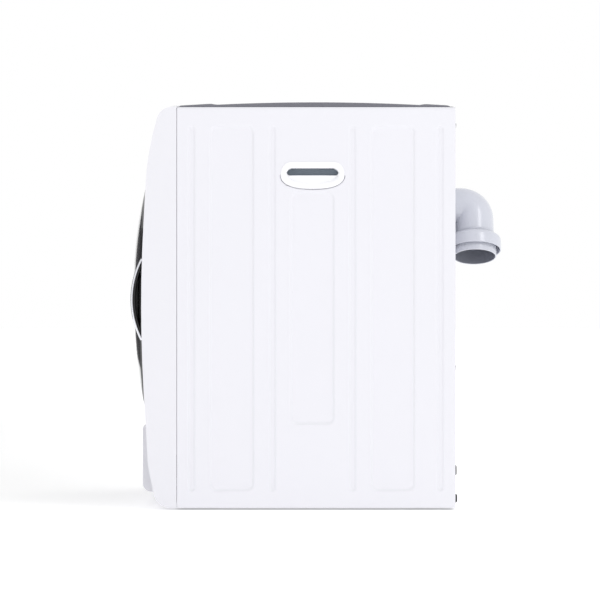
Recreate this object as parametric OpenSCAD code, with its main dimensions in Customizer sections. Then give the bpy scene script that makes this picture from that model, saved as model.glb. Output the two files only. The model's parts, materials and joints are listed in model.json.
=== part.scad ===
// Compact vented clothes dryer with a round door, as separate pieces, in millimetres.
// +Z is up, the door faces -Y, and +X is on the right of a person who faces the door.
// The origin is on the floor, under the middle of the object's whole box.

/* [Cabinet] */
// Width over the side panels
cab_w = 595; // [490:1:720]
// Height of the side panels
cab_h = 700; // [580:1:850]
// Depth of the sheet-metal body, from the front frame's seam to the back panel
cab_d = 487; // [405:1:590]
// Depth of the moulded front frame at its cheeks
front_d = 62; // [56:1:75]
// How far the front bows forward between its cheeks
front_bow = 8; // [4:0.5:12]
// Thickness of the cabinet's sheet steel
sheet_t = 0.8; // [0.7:0.1:1.2]
// Thickness of moulded plastic walls
wall_t = 3; // [2.4:0.1:3.5]
// Gap between the side panels' lower edge and the floor
stand_h = 4; // [3:0.5:12]
// Rise of the top cover's middle above the side panels
crown_h = 27; // [15:1:35]
// Fall of that rise towards the front and back edges
crown_fall = 8; // [3:1:12]
// Depth of the stamped beads and panels in the side panels
emboss_depth = 2.5; // [1:0.5:4]

/* [Door] */
// Radius of the door's rim
door_r = 210; // [190:1:252]
// How far the door's crest stands in front of the cheeks
door_proud = 28; // [22:1:34]
// Radius of the opening that clothes go through
mouth_r = 165; // [138:1:175]
// Length of the door handle, from end to end
handle_len = 146; // [100:2:170]

/* [Drum] */
// Room between the drum and each side panel
drum_side_gap = 36.5; // [30:0.5:50]
// Room under the drum for the motor and the belt
drum_floor_gap = 103; // [95:1:125]
// Room between the drum and the top of the side panels
drum_top_gap = 75; // [60:1:90]
// Radius of the drum's shaft
shaft_r = 12.5; // [8:0.5:15]
// Height of the lifters inside the drum
lifter_h = 50; // [30:1:60]

/* [Exhaust] */
// Outer radius of the elbow's pipe
elbow_r = 36; // [30:0.5:39]
// Outer radius of the collar that a duct slides over
collar_r = 49; // [45:0.5:55]
// Outer radius of the spigot inside the collar
spigot_r = 40; // [37:0.5:42]
// Height of the exhaust port above the drum's axis
port_rise = 170; // [150:1:185]
// Angle that the outlet is turned from straight down, towards the right
elbow_turn = 20; // [0:1:90]

/* [Drive] */
// Radius of the motor's casing
motor_r = 52; // [42:1:55]
// Radius of the small pulley that drives the drum's belt
drive_r = 10; // [8:0.5:12]
// Radius of the fan wheel
fan_r = 72; // [60:1:75]
// Number of fan blades
fan_blades = 20; // [12:1:24]

/* [Controls and feet] */
// Radius of the timer knob
knob_r = 24; // [18:0.5:26]
// How far the control fascia's half-width reaches
fascia_half_w = 170; // [150:1:200]
// Radius of each foot's pad
foot_r = 16; // [12:0.5:20]
// How far each foot screws out
foot_travel = 12; // [6:1:16]

/* [Hidden] */
$fn = 96;
tiny = 0.01;              // overlap that makes a cut or a join clean
fit_gap = 0.3;            // space between plain pieces that move past each other
run_gap = 0.05;           // radial clearance of a shaft in its bearing
big = 2000;               // size of cutting blocks

// Places along the depth. The whole box is centred on the origin.
elbow_bend_r = 24;        // the elbow's centreline radius
collar_gap = 0.5;         // space between the back panel and the collar in front of it
elbow_back = collar_r + collar_gap;   // the outlet's axis, behind the back panel
rear_reach = elbow_back + collar_r;
total_d = door_proud + front_d + cab_d + rear_reach;
back_y = total_d / 2 - rear_reach;
seam_y = back_y - cab_d;
cheek_y = seam_y - front_d;
face_y = cheek_y - front_bow;
crest_y = cheek_y - door_proud;

// Places up the height.
panel_z = stand_h;
top_z = panel_z + cab_h;
drum_r = min(cab_w / 2 - drum_side_gap, (cab_h - drum_floor_gap - drum_top_gap) / 2);
drum_z = panel_z + drum_floor_gap + drum_r;

// Front frame: recession behind the foremost line and height, as corners with rounding radii.
bow_r = (pow(cab_w / 2, 2) + pow(front_bow, 2)) / (2 * front_bow);
profile_low = [[27, 0, 30], [12, 75, 150], [-3.6, cab_h / 2, 2600 * pow(cab_h / 700, 2)],
    [10, cab_h - 100, 400]];
profile_top = [[20, -50, 150], [33, 0, 26]];

// Top cover.
crown_r = (pow(cab_w / 2 - 6, 2) + pow(crown_h, 2)) / (2 * crown_h);
crown_len_r = (pow(cab_d / 2, 2) + pow(crown_fall, 2)) / (2 * crown_fall);
crown_mid_y = (back_y + seam_y) / 2;
bend_r = 6;               // the side panels' rolled top edge
flange_w = 16;            // width of the side panels' inward flanges
cover_lap = 1;            // the cover's flat border stands this much above the flanges

// Side panel stamping, measured from the middle of the hand grip.
grip_z = top_z - 119.5;
grip_y = seam_y + cab_d / 2 - 6;
grip_half_w = 57;
grip_h = 48;
grip_depth = 26;
grip_slot_w = 89;
bead_w = 13;
bead_low = panel_z + 30;
bead_high = top_z - 33;
bead_y = [-211, -70, 70, 223];
field_y = [-140.5, 140.5];
field_w = 78;
centre_low = panel_z + 145;
centre_high = grip_z - grip_h / 2 - 4;
stamp_scale = cab_d / 487;

// Door recess and mouth, measured back from the front frame.
recess_gap = 3;
recess_r = door_r + recess_gap;
floor_y = seam_y - 51;                 // front face of the recess floor
hole_r = mouth_r + 5;                  // hole in the recess floor
ring_back_y = floor_y - 1.5;           // back of the door's ring
latch_r = (hole_r + recess_r) / 2;     // the latch and the switch sit on this radius
dome_edge_r = door_r - 12;
dome_drop = 20;                        // fall of the dome from its crest to its edge
dome_power = 2.45;
dome_t = 3;
ring_in_r = mouth_r - 15;
ring_front_y = crest_y + dome_drop + 2;
glass_r = ring_in_r - 32;
hinge_x = -(door_r + 6);
hinge_y = crest_y + 15.7;
hinge_half = 25;                       // half the height of the door's knuckle
hinge_pin_r = 3;
knuckle_r = 6.5;
lug_t = 7.5;
handle_x = latch_r - 20;
handle_w = 30;
handle_rise = 18;                      // height of the handle's bow
handle_arc_r = (pow(handle_len / 2, 2) + pow(handle_rise, 2)) / (2 * handle_rise);
handle_y = crest_y + 4 + handle_arc_r; // centre of the bow's arc
trim_t = 4.5;

// Front bulkhead and drum.
bulk_y = seam_y + 3;
drum_t = 0.8;
plate_t = 1;              // sheet of the two bulkheads
glide_r = drum_r - drum_t - fit_gap;   // outside of the felt that the drum turns on
collar_in_r = glide_r - 7;
drum_front_y = seam_y + 8;
drum_back_y = back_y - 121;
rear_bulk_y = back_y - 107.2;
rear_felt_r = drum_r - 35;
filter_r = 150;
shaft_end_y = rear_bulk_y + 52;
lifter_w = 60;
belt_y = back_y - 231;
belt_w = 8;
belt_t = 2;

// Motor, idler and fan.
motor_x = cab_w / 2 - 127.5;
motor_z = panel_z + 71;
motor_front_y = back_y - 205;
motor_back_y = back_y - 105;
motor_shaft_r = 6;
idler_r = 18;
idler_x = motor_x - 78;
idler_z = motor_z - 3;
idler_pivot_x = idler_x - 60;
idler_pivot_z = panel_z + 43;
hub_r = 24;                            // the drum bearing's housing
scroll_top = fan_r + 12;
fan_z = drum_z - hub_r - 30 - scroll_top;
fan_front_y = back_y - 98;
fan_back_y = back_y - 54;
scroll_front_y = rear_bulk_y + plate_t;
scroll_back_y = back_y - 44;
eye_r = fan_r - 10;
fan_belt_y = back_y - 34;
fan_drive_r = 30;
fan_pulley_r = 28;
port_z = drum_z + port_rise;
duct_left = 50;
duct_right = fan_r + 48;
port_box_r = elbow_r + 16;

// Elbow.
elbow_t = 2.5;
stub_y = back_y - 30;
collar_top = 59;                       // along the outlet, from the port's axis
collar_end = 85.5;
spigot_end = 97.6;
collar_round = 8;

// Control fascia.
fascia_y = face_y + 1.7;
fascia_low = panel_z + 16;
fascia_top = drum_z - recess_r - 14;
knob_x = -110;
control_z = panel_z + 71;
knob_proud = 11;
button_x = [20, 66];
button_r = 9;
button_travel = 3;

// Feet and base.
base_z = panel_z + 10;                 // underside of the base pan
foot_x = cab_w / 2 - 75;
foot_front_y = seam_y + 55;
foot_back_y = back_y - 55;
thread_r = 4;
base_t = 1.2;

// ---- Shared shapes ----

function unit(v) = v / norm(v);

// Points that round the corner b, between a and c, with radius r.
function corner_arc(a, b, c, r, n = 6) =
    let (u = unit(a - b), v = unit(c - b))
    let (half = acos(u * v) / 2, turn = 180 - 2 * half)
    let (centre = b + unit(u + v) * r / sin(half))
    let (from = b + u * r / tan(half) - centre, to = b + v * r / tan(half) - centre)
    [for (i = [0:n]) centre + (sin(turn * (1 - i / n)) * from + sin(turn * i / n) * to) / sin(turn)];

// A closed outline of corners [x, y, radius], where a radius of 0 leaves the corner sharp.
function rounded(pts) =
    let (n = len(pts))
    [for (i = [0:n - 1])
        let (p = pts[i], a = pts[(i + n - 1) % n], c = pts[(i + 1) % n], b = [p.x, p.y])
        each p.z > 0 ? corner_arc([a.x, a.y], b, [c.x, c.y], p.z) : [b]];

// How far the bowed front lies behind its middle, at a place across the width.
function bow_at(x) = bow_r - sqrt(pow(bow_r, 2) - pow(x, 2));

// Extrudes a drawing of (Y, Z) along X from x0.
module along_x(x0, length) {
    translate([x0, 0, 0]) rotate([90, 0, 90]) linear_extrude(length) children();
}

// Extrudes a drawing of (X, Z) along Y from y0.
module along_y(y0, length) {
    translate([0, y0 + length, 0]) rotate([90, 0, 0]) linear_extrude(length) children();
}

// Turns an outline of (radius, Y) about a line along Y.
module lathe_y(x, z, pts) {
    translate([x, 0, z]) rotate([-90, 0, 0]) rotate_extrude() polygon(pts);
}

module rod_y(x, z, y0, y1, r) {
    translate([x, y0, z]) rotate([-90, 0, 0]) cylinder(h = y1 - y0, r = r);
}

module tube_y(x, z, y0, y1, r_in, r_out) {
    lathe_y(x, z, [[r_in, y0], [r_out, y0], [r_out, y1], [r_in, y1]]);
}

// A box between two corners.
module block(a, b) {
    translate(a) cube(b - a);
}

module rounded_rect(w, h, r) {
    square([w - 2 * r, h], center = true);
    square([w, h - 2 * r], center = true);
    for (i = [-1, 1], j = [-1, 1])
        translate([i * (w / 2 - r), j * (h / 2 - r)]) circle(r);
}

// A closed loop of belt round wheels [x, z, radius], seen from the front.
module belt_loop(y, wheels) {
    along_y(y - belt_w / 2, belt_w) difference() {
        hull() for (w = wheels) translate([w.x, w.y]) circle(w.z + fit_gap + belt_t, $fn = 180);
        hull() for (w = wheels) translate([w.x, w.y]) circle(w.z + fit_gap, $fn = 180);
    }
}

// A round tube that follows a list of points.
module sweep(path, r, sides = 8) {
    n = len(path);
    function side(d) = unit(cross(abs(d.z) < 0.9 * norm(d) ? [0, 0, 1] : [1, 0, 0], d));
    rings = [for (i = [0:n - 1])
        let (d = unit(path[min(i + 1, n - 1)] - path[max(i - 1, 0)]), u = side(d), v = cross(d, u))
        for (k = [0:sides - 1])
            path[i] + r * (cos(360 * k / sides) * u + sin(360 * k / sides) * v)];
    walls = [for (i = [0:n - 2], k = [0:sides - 1])
        let (a = i * sides + k, b = i * sides + (k + 1) % sides)
        each [[a, b, b + sides], [a, b + sides, a + sides]]];
    polyhedron(rings, concat([[for (k = [0:sides - 1]) sides - 1 - k]], walls,
        [[for (k = [0:sides - 1]) (n - 1) * sides + k]]), convexity = 4);
}

// ---- Front frame's outer form, or its inner form when inset ----

// Turns an outline of (depth behind the bowed face, height) about the bow's upright axis.
module bowed(pts) {
    half = asin((cab_w / 2 + 4) / bow_r);
    translate([0, face_y + bow_r, 0])
        rotate_extrude(angle = 2 * half, start = -90 - half, $fn = 256)
            polygon([for (p = pts) [bow_r - p.x, p.y]]);
}

// Turns an outline of (Y, Z) about the crown's axis, which runs along Y below the cabinet.
module crowned(pts) {
    half = asin((cab_w / 2 + 4) / crown_r);
    low = top_z + crown_h - crown_r;
    translate([0, 0, low]) multmatrix([[0, 1, 0, 0], [0, 0, 1, 0], [1, 0, 0, 0]])
        rotate_extrude(angle = 2 * half, start = -half, $fn = 256)
            polygon([for (p = pts) [p.y - low, p.x]]);
}

// The front frame from the side, open at the top, as (depth, height).
function side_profile(inset) =
    let (slope = (profile_top[0].x - profile_low[3].x) / (profile_top[0].y + 100))
    let (deep = front_d + front_bow + 40, tall = crown_h + 20)
    rounded(concat(
        [[deep, panel_z + inset, 0]],
        [for (p = profile_low)
            [p.x + inset, panel_z + max(p.y, inset), max(p.z - inset, 1)]],
        [[profile_low[3].x + inset + slope * (100 + tall), top_z + tall, 0],
         [deep, top_z + tall, 0]]));

// The rounded upper edge, as (Y, Z), under a top at the given height.
function top_profile(top, inset) = rounded([
    [seam_y + 40, top - 160, 0],
    [cheek_y - 30, top - 160, 0],
    [cheek_y + profile_top[0].x + inset, top + profile_top[0].y, profile_top[0].z],
    [cheek_y + profile_top[1].x + inset, top - inset, profile_top[1].z],
    [seam_y + 40, top - inset, 0]]);

module front_form(inset) {
    half_w = cab_w / 2 - inset;
    back = inset > 0 ? seam_y + 1 : seam_y;
    intersection() {
        bowed(side_profile(inset));
        translate([-half_w, face_y - 50, 0]) cube([2 * half_w, back - face_y + 50, big]);
        union() {
            translate([-half_w, cheek_y - 30, 0]) cube([2 * half_w, big, top_z - 159]);
            along_x(-half_w, 2 * half_w) polygon(top_profile(top_z, inset));
            crowned(top_profile(top_z + crown_h - crown_fall, inset));
        }
    }
}

// ---- Cabinet ----

module side_section() {
    w = cab_w / 2;
    translate([w - sheet_t, panel_z]) square([sheet_t, cab_h - bend_r]);
    translate([w - flange_w, panel_z]) square([flange_w, sheet_t]);
    translate([w - flange_w, top_z - sheet_t]) square([flange_w - bend_r, sheet_t]);
    intersection() {
        translate([w - bend_r, top_z - bend_r]) difference() {
            circle(bend_r);
            circle(bend_r - sheet_t);
        }
        translate([w - bend_r, top_z - bend_r]) square(bend_r + 1);
    }
}

// Every stamped shape in a side panel, seen from the side, narrowed by an inset.
module stamping(inset) {
    tall = bead_high - bead_low;
    mid = (bead_high + bead_low) / 2;
    for (y = bead_y)
        translate([grip_y + y * stamp_scale, mid])
            rounded_rect(bead_w - 2 * inset, tall - 2 * inset, bead_w / 2 - inset - tiny);
    for (y = field_y)
        translate([grip_y + y * stamp_scale, mid])
            rounded_rect(field_w * stamp_scale - 2 * inset, tall - 2 * inset, 14 - inset);
    translate([grip_y, (centre_low + centre_high) / 2])
        rounded_rect(field_w * stamp_scale - 2 * inset,
            centre_high - centre_low - 2 * inset, 14 - inset);
}

module side_panel() {
    w = cab_w / 2;
    difference() {
        union() {
            along_y(seam_y, cab_d) side_section();
            along_x(w - emboss_depth - sheet_t, emboss_depth + sheet_t / 2) stamping(0);
        }
        along_x(w - emboss_depth, emboss_depth + 1) stamping(sheet_t);
        along_x(w - 10, 20) grip_outline(5 - fit_gap);
    }
}

module right_side_panel() { color("white") side_panel(); }

module left_side_panel() { color("white") mirror([1, 0, 0]) side_panel(); }

// Hand grip: flat on top with round ends, and a shallow curve below.
module grip_outline(inset) {
    end_r = 18;
    rise = 2;
    w = grip_half_w - inset;
    translate([grip_y, grip_z]) polygon(concat(
        [for (a = [0:10:180]) [w * cos(a), rise - (grip_h / 2 + rise - inset) * sin(a)]],
        [for (a = [10:10:90])
            [-w + end_r * (1 - cos(a)), rise + (grip_h / 2 - rise - inset) * sin(a)]],
        [for (a = [90:-10:10])
            [w - end_r * (1 - cos(a)), rise + (grip_h / 2 - rise - inset) * sin(a)]]));
}

module grip() {
    w = cab_w / 2;
    proud = 1.5;
    lip = 4;
    deep = grip_depth - lip;
    difference() {
        union() {
            along_x(w, proud) grip_outline(0);
            along_x(w - grip_depth, grip_depth + tiny) grip_outline(5);
        }
        intersection() {
            along_x(w - grip_depth, grip_depth + 10) grip_outline(9);
            along_y(grip_y - grip_slot_w / 2, grip_slot_w) polygon([
                [w + 5, grip_z - 22], [w, grip_z - 17], [w - deep, grip_z + 2],
                [w - deep, grip_z + 16], [w - 5, grip_z + 16], [w, grip_z + 11.5],
                [w + 5, grip_z + 11.5]]);
        }
    }
}

module side_grips() {
    color("white") {
        grip();
        mirror([1, 0, 0]) grip();
    }
}

// Back panel fixings as [x, z].
screw_side_x = cab_w / 2 - 10;
back_screw_at = concat(
    [for (s = [-1, 1], z = [245, 668]) [s * screw_side_x, panel_z + z * cab_h / 700]],
    [for (x = [-0.62, -0.21, 0.21, 0.62]) [x * cab_w / 2, top_z - 12]],
    [for (x = [-0.62, 0, 0.62]) [x * cab_w / 2, panel_z + 5.6]]);
gland_x = cab_w / 2 - 28;
gland_z = panel_z + 64.5;
gland_in_r = 4.2;
grille_x = -cab_w / 4;
grille_z = panel_z + 110;
grille_w = 150;
grille_h = 80;
slot_h = 3.5;

module back_panel() {
    w = cab_w / 2;
    color("white") difference() {
        along_y(back_y - sheet_t, sheet_t) union() {
            translate([-w + sheet_t, panel_z + sheet_t])
                square([cab_w - 2 * sheet_t, cab_h - bend_r - sheet_t]);
            translate([-w + flange_w, panel_z + sheet_t])
                square([cab_w - 2 * flange_w, cab_h - sheet_t]);
            translate([-w + bend_r, panel_z + sheet_t])
                square([cab_w - 2 * bend_r, cab_h - 2 * sheet_t]);
        }
        for (p = back_screw_at)
            rod_y(p.x, p.y, back_y - 5, back_y + 5, 2);
        rod_y(0, port_z, back_y - 5, back_y + 5, elbow_r + wall_t + fit_gap);
        rod_y(gland_x, gland_z, back_y - 5, back_y + 5, 6.5);
        translate([grille_x, back_y, grille_z]) cube([grille_w, 10, grille_h], center = true);
    }
}

// The cover's raised middle, seen from the side.
function cover_profile(inset) =
    let (peak = top_z + crown_h - inset, y0 = seam_y + inset, y1 = back_y - inset, edge = 5)
    let (level = function (y) peak - crown_len_r + sqrt(pow(crown_len_r, 2) - pow(y - crown_mid_y, 2)))
    concat(
        [[y1, top_z - 20], [y0, top_z - 20]],
        [for (i = [0:16]) let (y = y0 + (y1 - edge - y0) * i / 16) [y, level(y)]],
        [for (a = [60, 30, 0]) [y1 - edge * (1 - cos(a)), level(y1 - edge) - edge * (1 - sin(a))]]);

module top_cover() {
    w = cab_w / 2 - bend_r - 2;
    color([0.62, 0.62, 0.66]) difference() {
        intersection() {
            translate([-w, seam_y, top_z]) cube([2 * w, cab_d, 80]);
            union() {
                translate([-w, seam_y, top_z]) cube([2 * w, cab_d, cover_lap]);
                crowned(cover_profile(0));
            }
        }
        crowned(cover_profile(sheet_t));
    }
}

module base_pan() {
    w = cab_w / 2 - sheet_t;
    t = base_t;
    lip_low = panel_z + sheet_t;
    color("silver") difference() {
        union() {
            block([-w, seam_y, lip_low], [w, back_y - sheet_t, base_z + t]);
            for (x = [-foot_x, foot_x], y = [foot_front_y, foot_back_y])
                translate([x, y, base_z]) cylinder(h = 12, r = 9);
        }
        block([-w + t, seam_y + t, lip_low - 1], [w - t, back_y - sheet_t - t, base_z]);
        for (x = [-foot_x, foot_x], y = [foot_front_y, foot_back_y])
            translate([x, y, 0]) cylinder(h = 60, r = thread_r + run_gap);
        for (p = back_screw_at)
            rod_y(p.x, p.y, back_y - 9, back_y, 2);
    }
}

module front_panel() {
    seat_x = hinge_x - 4;
    color("white") difference() {
        union() {
            difference() {
                front_form(0);
                front_form(wall_t);
            }
            intersection() {
                front_form(0);
                rod_y(0, drum_z, face_y - 50, floor_y + wall_t, recess_r + wall_t);
            }
        }
        rod_y(0, drum_z, face_y - 60, floor_y, recess_r);
        rod_y(0, drum_z, face_y, seam_y + 60, hole_r);
        rod_y(door_plunger_x, door_plunger_z, floor_y - 1, floor_y + 10, 4);
        block([latch_r - 4.3, floor_y - 1, drum_z - 15.3], [latch_r + 4.3, floor_y + 10, drum_z + 15.3]);
        block([seat_x - 27, face_y - 10, drum_z - 34], [seat_x, hinge_seat_y, drum_z + 34]);
        rod_y(knob_x, control_z, face_y, seam_y, 8);
        for (x = button_x) rod_y(x, control_z, face_y, seam_y, 5.5);
    }
}

door_plunger_x = latch_r * cos(22);
door_plunger_z = drum_z + latch_r * sin(22);
plunger_r = 3;
hinge_seat_y = face_y + bow_at(hinge_x) + 1.6;

// Bowed fascia under the door that carries the knob and the buttons.
function fascia_profile(inset) =
    let (deep = 60, e = fascia_y - face_y + inset)
    rounded([
        [deep, fascia_low - 2 + inset, 0],
        [e, fascia_low + 6 + inset, 14 - inset],
        [e, fascia_top - inset, 3.5 - inset],
        [deep, fascia_top + 2 - inset, 0]]);

module fascia_form(inset) {
    w = fascia_half_w - inset;
    intersection() {
        bowed(fascia_profile(inset));
        block([-w, face_y - 40, 0], [w, seam_y, top_z]);
    }
}

module control_fascia() {
    t = 2.5;
    color("white") difference() {
        fascia_form(0);
        fascia_form(t);
        front_form(0);
        rod_y(knob_x, control_z, face_y - 20, seam_y, 6);
        for (x = button_x) rod_y(x, control_z, face_y - 20, seam_y, button_r + fit_gap);
    }
}

neck_y = face_y + 10.8;                // front end of the switches' threaded necks
switch_y = face_y + 26;

module control_switches() {
    color("dimgray") {
        difference() {
            union() {
                block([knob_x - 24, switch_y, control_z - 24], [knob_x + 24, switch_y + 20, control_z + 24]);
                rod_y(knob_x, control_z, neck_y, switch_y + 1, 7.7);
            }
            rod_y(knob_x, control_z, neck_y - 1, switch_y + 14, 3 + run_gap);
        }
        for (x = button_x) difference() {
            union() {
                block([x - 9, switch_y, control_z - 12], [x + 9, switch_y + 18, control_z + 12]);
                rod_y(x, control_z, neck_y, switch_y + 1, 5.2);
            }
            rod_y(x, control_z, neck_y - 1, switch_y + 12, 2.5 + run_gap);
        }
    }
}

module timer_knob() {
    face = fascia_y + bow_at(knob_x);
    front = face - knob_proud;
    back = face - 1.2;
    color("silver") {
        lathe_y(knob_x, control_z, [[0, front + 4], [knob_r - 8, front + 4], [knob_r - 5, front + 6],
            [knob_r, back - 2], [knob_r, back], [0, back]]);
        rod_y(knob_x, control_z, back - 1, switch_y + 12, 3);
        block([knob_x - 4, front, control_z - knob_r + 5], [knob_x + 4, front + 6, control_z + knob_r - 5]);
    }
}

module push_button(x) {
    face = fascia_y + bow_at(x);
    lathe_y(x, control_z, [[0, face - 2], [button_r - 1, face - 2], [button_r, face - 1],
        [button_r, face + 5], [0, face + 5]]);
    rod_y(x, control_z, face + 4, switch_y + 12 - button_travel - 0.5, 2.5);
}

module start_button() { color("gainsboro") push_button(button_x[0]); }

module heat_button() { color("gainsboro") push_button(button_x[1]); }

module screw_head(x, y, z) {
    difference() {
        union() {
            lathe_y(x, z, [[0, y], [4.2, y], [4.2, y + 0.8], [3, y + 2], [0, y + 2.5]]);
            rod_y(x, z, y - 8, y + 0.5, 1.9);
        }
        block([x - 2.2, y + 1.2, z - 0.45], [x + 2.2, y + 3, z + 0.45]);
        block([x - 0.45, y + 1.2, z - 2.2], [x + 0.45, y + 3, z + 2.2]);
    }
}

module screws() {
    color("gray") for (p = back_screw_at) screw_head(p.x, back_y, p.y);
}

// Rubber bumpers that keep the lower edge off a wall.
module wall_bumpers() {
    color([0.25, 0.25, 0.27]) for (s = [-1, 1])
        lathe_y(s * (cab_w / 2 - 16), panel_z + 16, [[0, back_y], [7.5, back_y], [7.5, back_y + 2],
            [6, back_y + 3.5], [0, back_y + 3.5]]);
}

module cord_gland() {
    color([0.2, 0.2, 0.22]) difference() {
        union() {
            rod_y(gland_x, gland_z, back_y, back_y + 3, 8.5);
            rod_y(gland_x, gland_z, back_y - 12, back_y + 1, 6.4);
            tube_y(gland_x, gland_z, back_y - 7, back_y - sheet_t, 6, 9.5);
        }
        rod_y(gland_x, gland_z, back_y - 20, back_y + 10, gland_in_r);
    }
}

module intake_grille() {
    slots = floor((grille_h - 12) / (2 * slot_h));
    color("gainsboro") difference() {
        union() {
            translate([grille_x, back_y - 2, grille_z])
                cube([grille_w - 2 * fit_gap, 4, grille_h - 2 * fit_gap], center = true);
            translate([grille_x, back_y + 0.75, grille_z]) cube([grille_w + 10, 1.5, grille_h + 10], center = true);
        }
        for (i = [0:slots - 1])
            translate([grille_x, back_y, grille_z + (i - (slots - 1) / 2) * 2 * slot_h])
                cube([grille_w - 16, 20, slot_h], center = true);
    }
}

// ---- Air path and drum supports ----

heater_half_w = 90;
heater_low = drum_z + mouth_r + 18;
heater_high = drum_z + collar_in_r - 8;
heater_front_y = seam_y - 44;
harness_hole_x = cab_w / 2 - 45;
harness_hole_z = panel_z + 32;

module front_bulkhead() {
    t = plate_t;
    w = cab_w / 2 - 7;
    rows = max(1, floor((heater_high - heater_low - 12) / 12));
    color("silver") {
        difference() {
            union() {
                block([-w, bulk_y, base_z + base_t], [w, bulk_y + t, top_z - sheet_t - 0.2]);
                block([-cab_w / 2 + sheet_t, bulk_y, panel_z + 24], [cab_w / 2 - sheet_t, bulk_y + t, top_z - 24]);
                tube_y(0, drum_z, bulk_y, seam_y + 26, collar_in_r, collar_in_r + 1);
            }
            rod_y(0, drum_z, bulk_y - 5, bulk_y + 5, mouth_r + wall_t);
            for (i = [-4:4], k = [0:rows - 1])
                translate([i * 18, bulk_y, heater_low + 12 + 12 * k])
                    cube([12, 10, 6], center = true);
            rod_y(harness_hole_x, harness_hole_z, bulk_y - 5, bulk_y + 5, 8);
        }
    }
}

module mouth_ring() {
    y0 = floor_y;
    color("gainsboro") lathe_y(0, drum_z, [[mouth_r, y0], [hole_r - fit_gap, y0],
        [hole_r - fit_gap, y0 + 6], [mouth_r + wall_t, y0 + 8], [mouth_r + wall_t, bulk_y - 2],
        [mouth_r + 16, bulk_y - 2], [mouth_r + 16, bulk_y], [mouth_r, bulk_y]]);
}

module drum_felts() {
    color([0.55, 0.5, 0.42]) {
        tube_y(0, drum_z, bulk_y + plate_t, seam_y + 26, glide_r - 6, glide_r);
        tube_y(0, drum_z, drum_back_y + fit_gap, rear_bulk_y, rear_felt_r - 7, rear_felt_r + 7);
    }
}

module rear_bulkhead() {
    w = cab_w / 2 - sheet_t - emboss_depth;
    color("silver") difference() {
        block([-w, rear_bulk_y, motor_z + motor_r + 18], [w, rear_bulk_y + plate_t, drum_z + drum_r + 30]);
        rod_y(0, fan_z, rear_bulk_y - 5, rear_bulk_y + 5, eye_r);
        rod_y(0, drum_z, rear_bulk_y - 5, rear_bulk_y + 5, hub_r);
    }
}

module bearing_housing() {
    y0 = rear_bulk_y + plate_t;
    color("gray") lathe_y(0, drum_z, [[18, rear_bulk_y - 4], [hub_r, rear_bulk_y - 4], [hub_r, y0],
        [42, y0], [42, y0 + 3], [hub_r, y0 + 3], [hub_r, shaft_end_y - 4], [18, shaft_end_y - 4]]);
}

module drum_bearing() {
    color("goldenrod")
        tube_y(0, drum_z, rear_bulk_y - 4, shaft_end_y - 4, shaft_r + run_gap, 18);
}

// Fan scroll and rising duct, seen from the front, grown by the wall.
module scroll_outline(grow) {
    start = 40;
    base = fan_r + 5;
    translate([0, fan_z]) {
        circle(base + grow);
        polygon(concat([[0, 0]], [for (a = [start:10:370])
            (base + (duct_right - base) * (a - start) / (360 - start) + grow) * [cos(a), sin(a)]]));
    }
    polygon([[duct_left - grow, fan_z], [duct_right + grow, fan_z + 10], [duct_right + grow, port_z - 105],
        [port_box_r + grow, port_z], [-port_box_r - grow, port_z], [duct_left - grow, port_z - 95]]);
    translate([0, port_z]) circle(port_box_r + grow);
}

module fan_housing() {
    t = 2.5;
    boss_y = scroll_back_y + 2.5;
    color("gainsboro") difference() {
        union() {
            difference() {
                along_y(scroll_front_y, scroll_back_y - scroll_front_y) scroll_outline(t);
                along_y(scroll_front_y - 1, scroll_back_y - scroll_front_y - t + 1) scroll_outline(0);
            }
            rod_y(0, fan_z, scroll_back_y - 8, boss_y, 14);
        }
        rod_y(0, fan_z, fan_front_y, boss_y + 5, 6 + run_gap);
        rod_y(0, port_z, scroll_back_y - 10, scroll_back_y + 10, elbow_r + wall_t + fit_gap);
    }
}

module exhaust_flange() {
    r = elbow_r + fit_gap;
    color("gainsboro") lathe_y(0, port_z, [[r, scroll_back_y - 2.5], [r + wall_t, scroll_back_y - 2.5],
        [r + wall_t, back_y], [r + 10, back_y], [r + 10, back_y + 2], [r + 8, back_y + 3], [r, back_y + 3]]);
}

module heater_box() {
    t = 1;
    mid = (heater_low + heater_high) / 2;
    color("silver") difference() {
        block([-heater_half_w, heater_front_y, heater_low], [heater_half_w, bulk_y, heater_high]);
        block([-heater_half_w + t, heater_front_y + t, heater_low + t],
            [heater_half_w - t, bulk_y + 1, heater_high - t]);
        for (s = [-1, 1])
            translate([s * heater_half_w, (heater_front_y + bulk_y) / 2, mid])
                cube([10, 30, max(2, heater_high - heater_low - 16)], center = true);
    }
}

// Finned heating bars between two end plates.
module heater_element() {
    x = heater_half_w - 14;
    y0 = heater_front_y + 8;
    low = heater_low + 4;
    high = heater_high - 4;
    bars = max(1, floor((high - low - 4) / 16));
    pitch = (high - low) / bars;
    color("dimgray") {
        for (s = [-1, 1]) block([s * x - 2, y0, low], [s * x + 2, y0 + 26, high]);
        for (i = [0:bars - 1])
            block([-x, y0 + 3, low + pitch * (i + 0.5) - 3], [x, y0 + 23, low + pitch * (i + 0.5) + 3]);
        for (i = [-6:6]) block([i * 11 - 0.5, y0 + 2, low + 1], [i * 11 + 0.5, y0 + 24, high - 1]);
    }
}

module thermostat(x, y, z) {
    rod_y(x, z, y - 6, y, 9);
    block([x - 14, y - 1, z - 4], [x + 14, y, z + 4]);
}

module thermostats() {
    color("black") {
        thermostat(-50, heater_front_y, heater_high - 14);
        translate([0, 2 * (scroll_back_y + 6), 0]) mirror([0, 1, 0])
            thermostat(80, scroll_back_y + 12, port_z - 130);
    }
}

// ---- Drive ----

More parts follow.
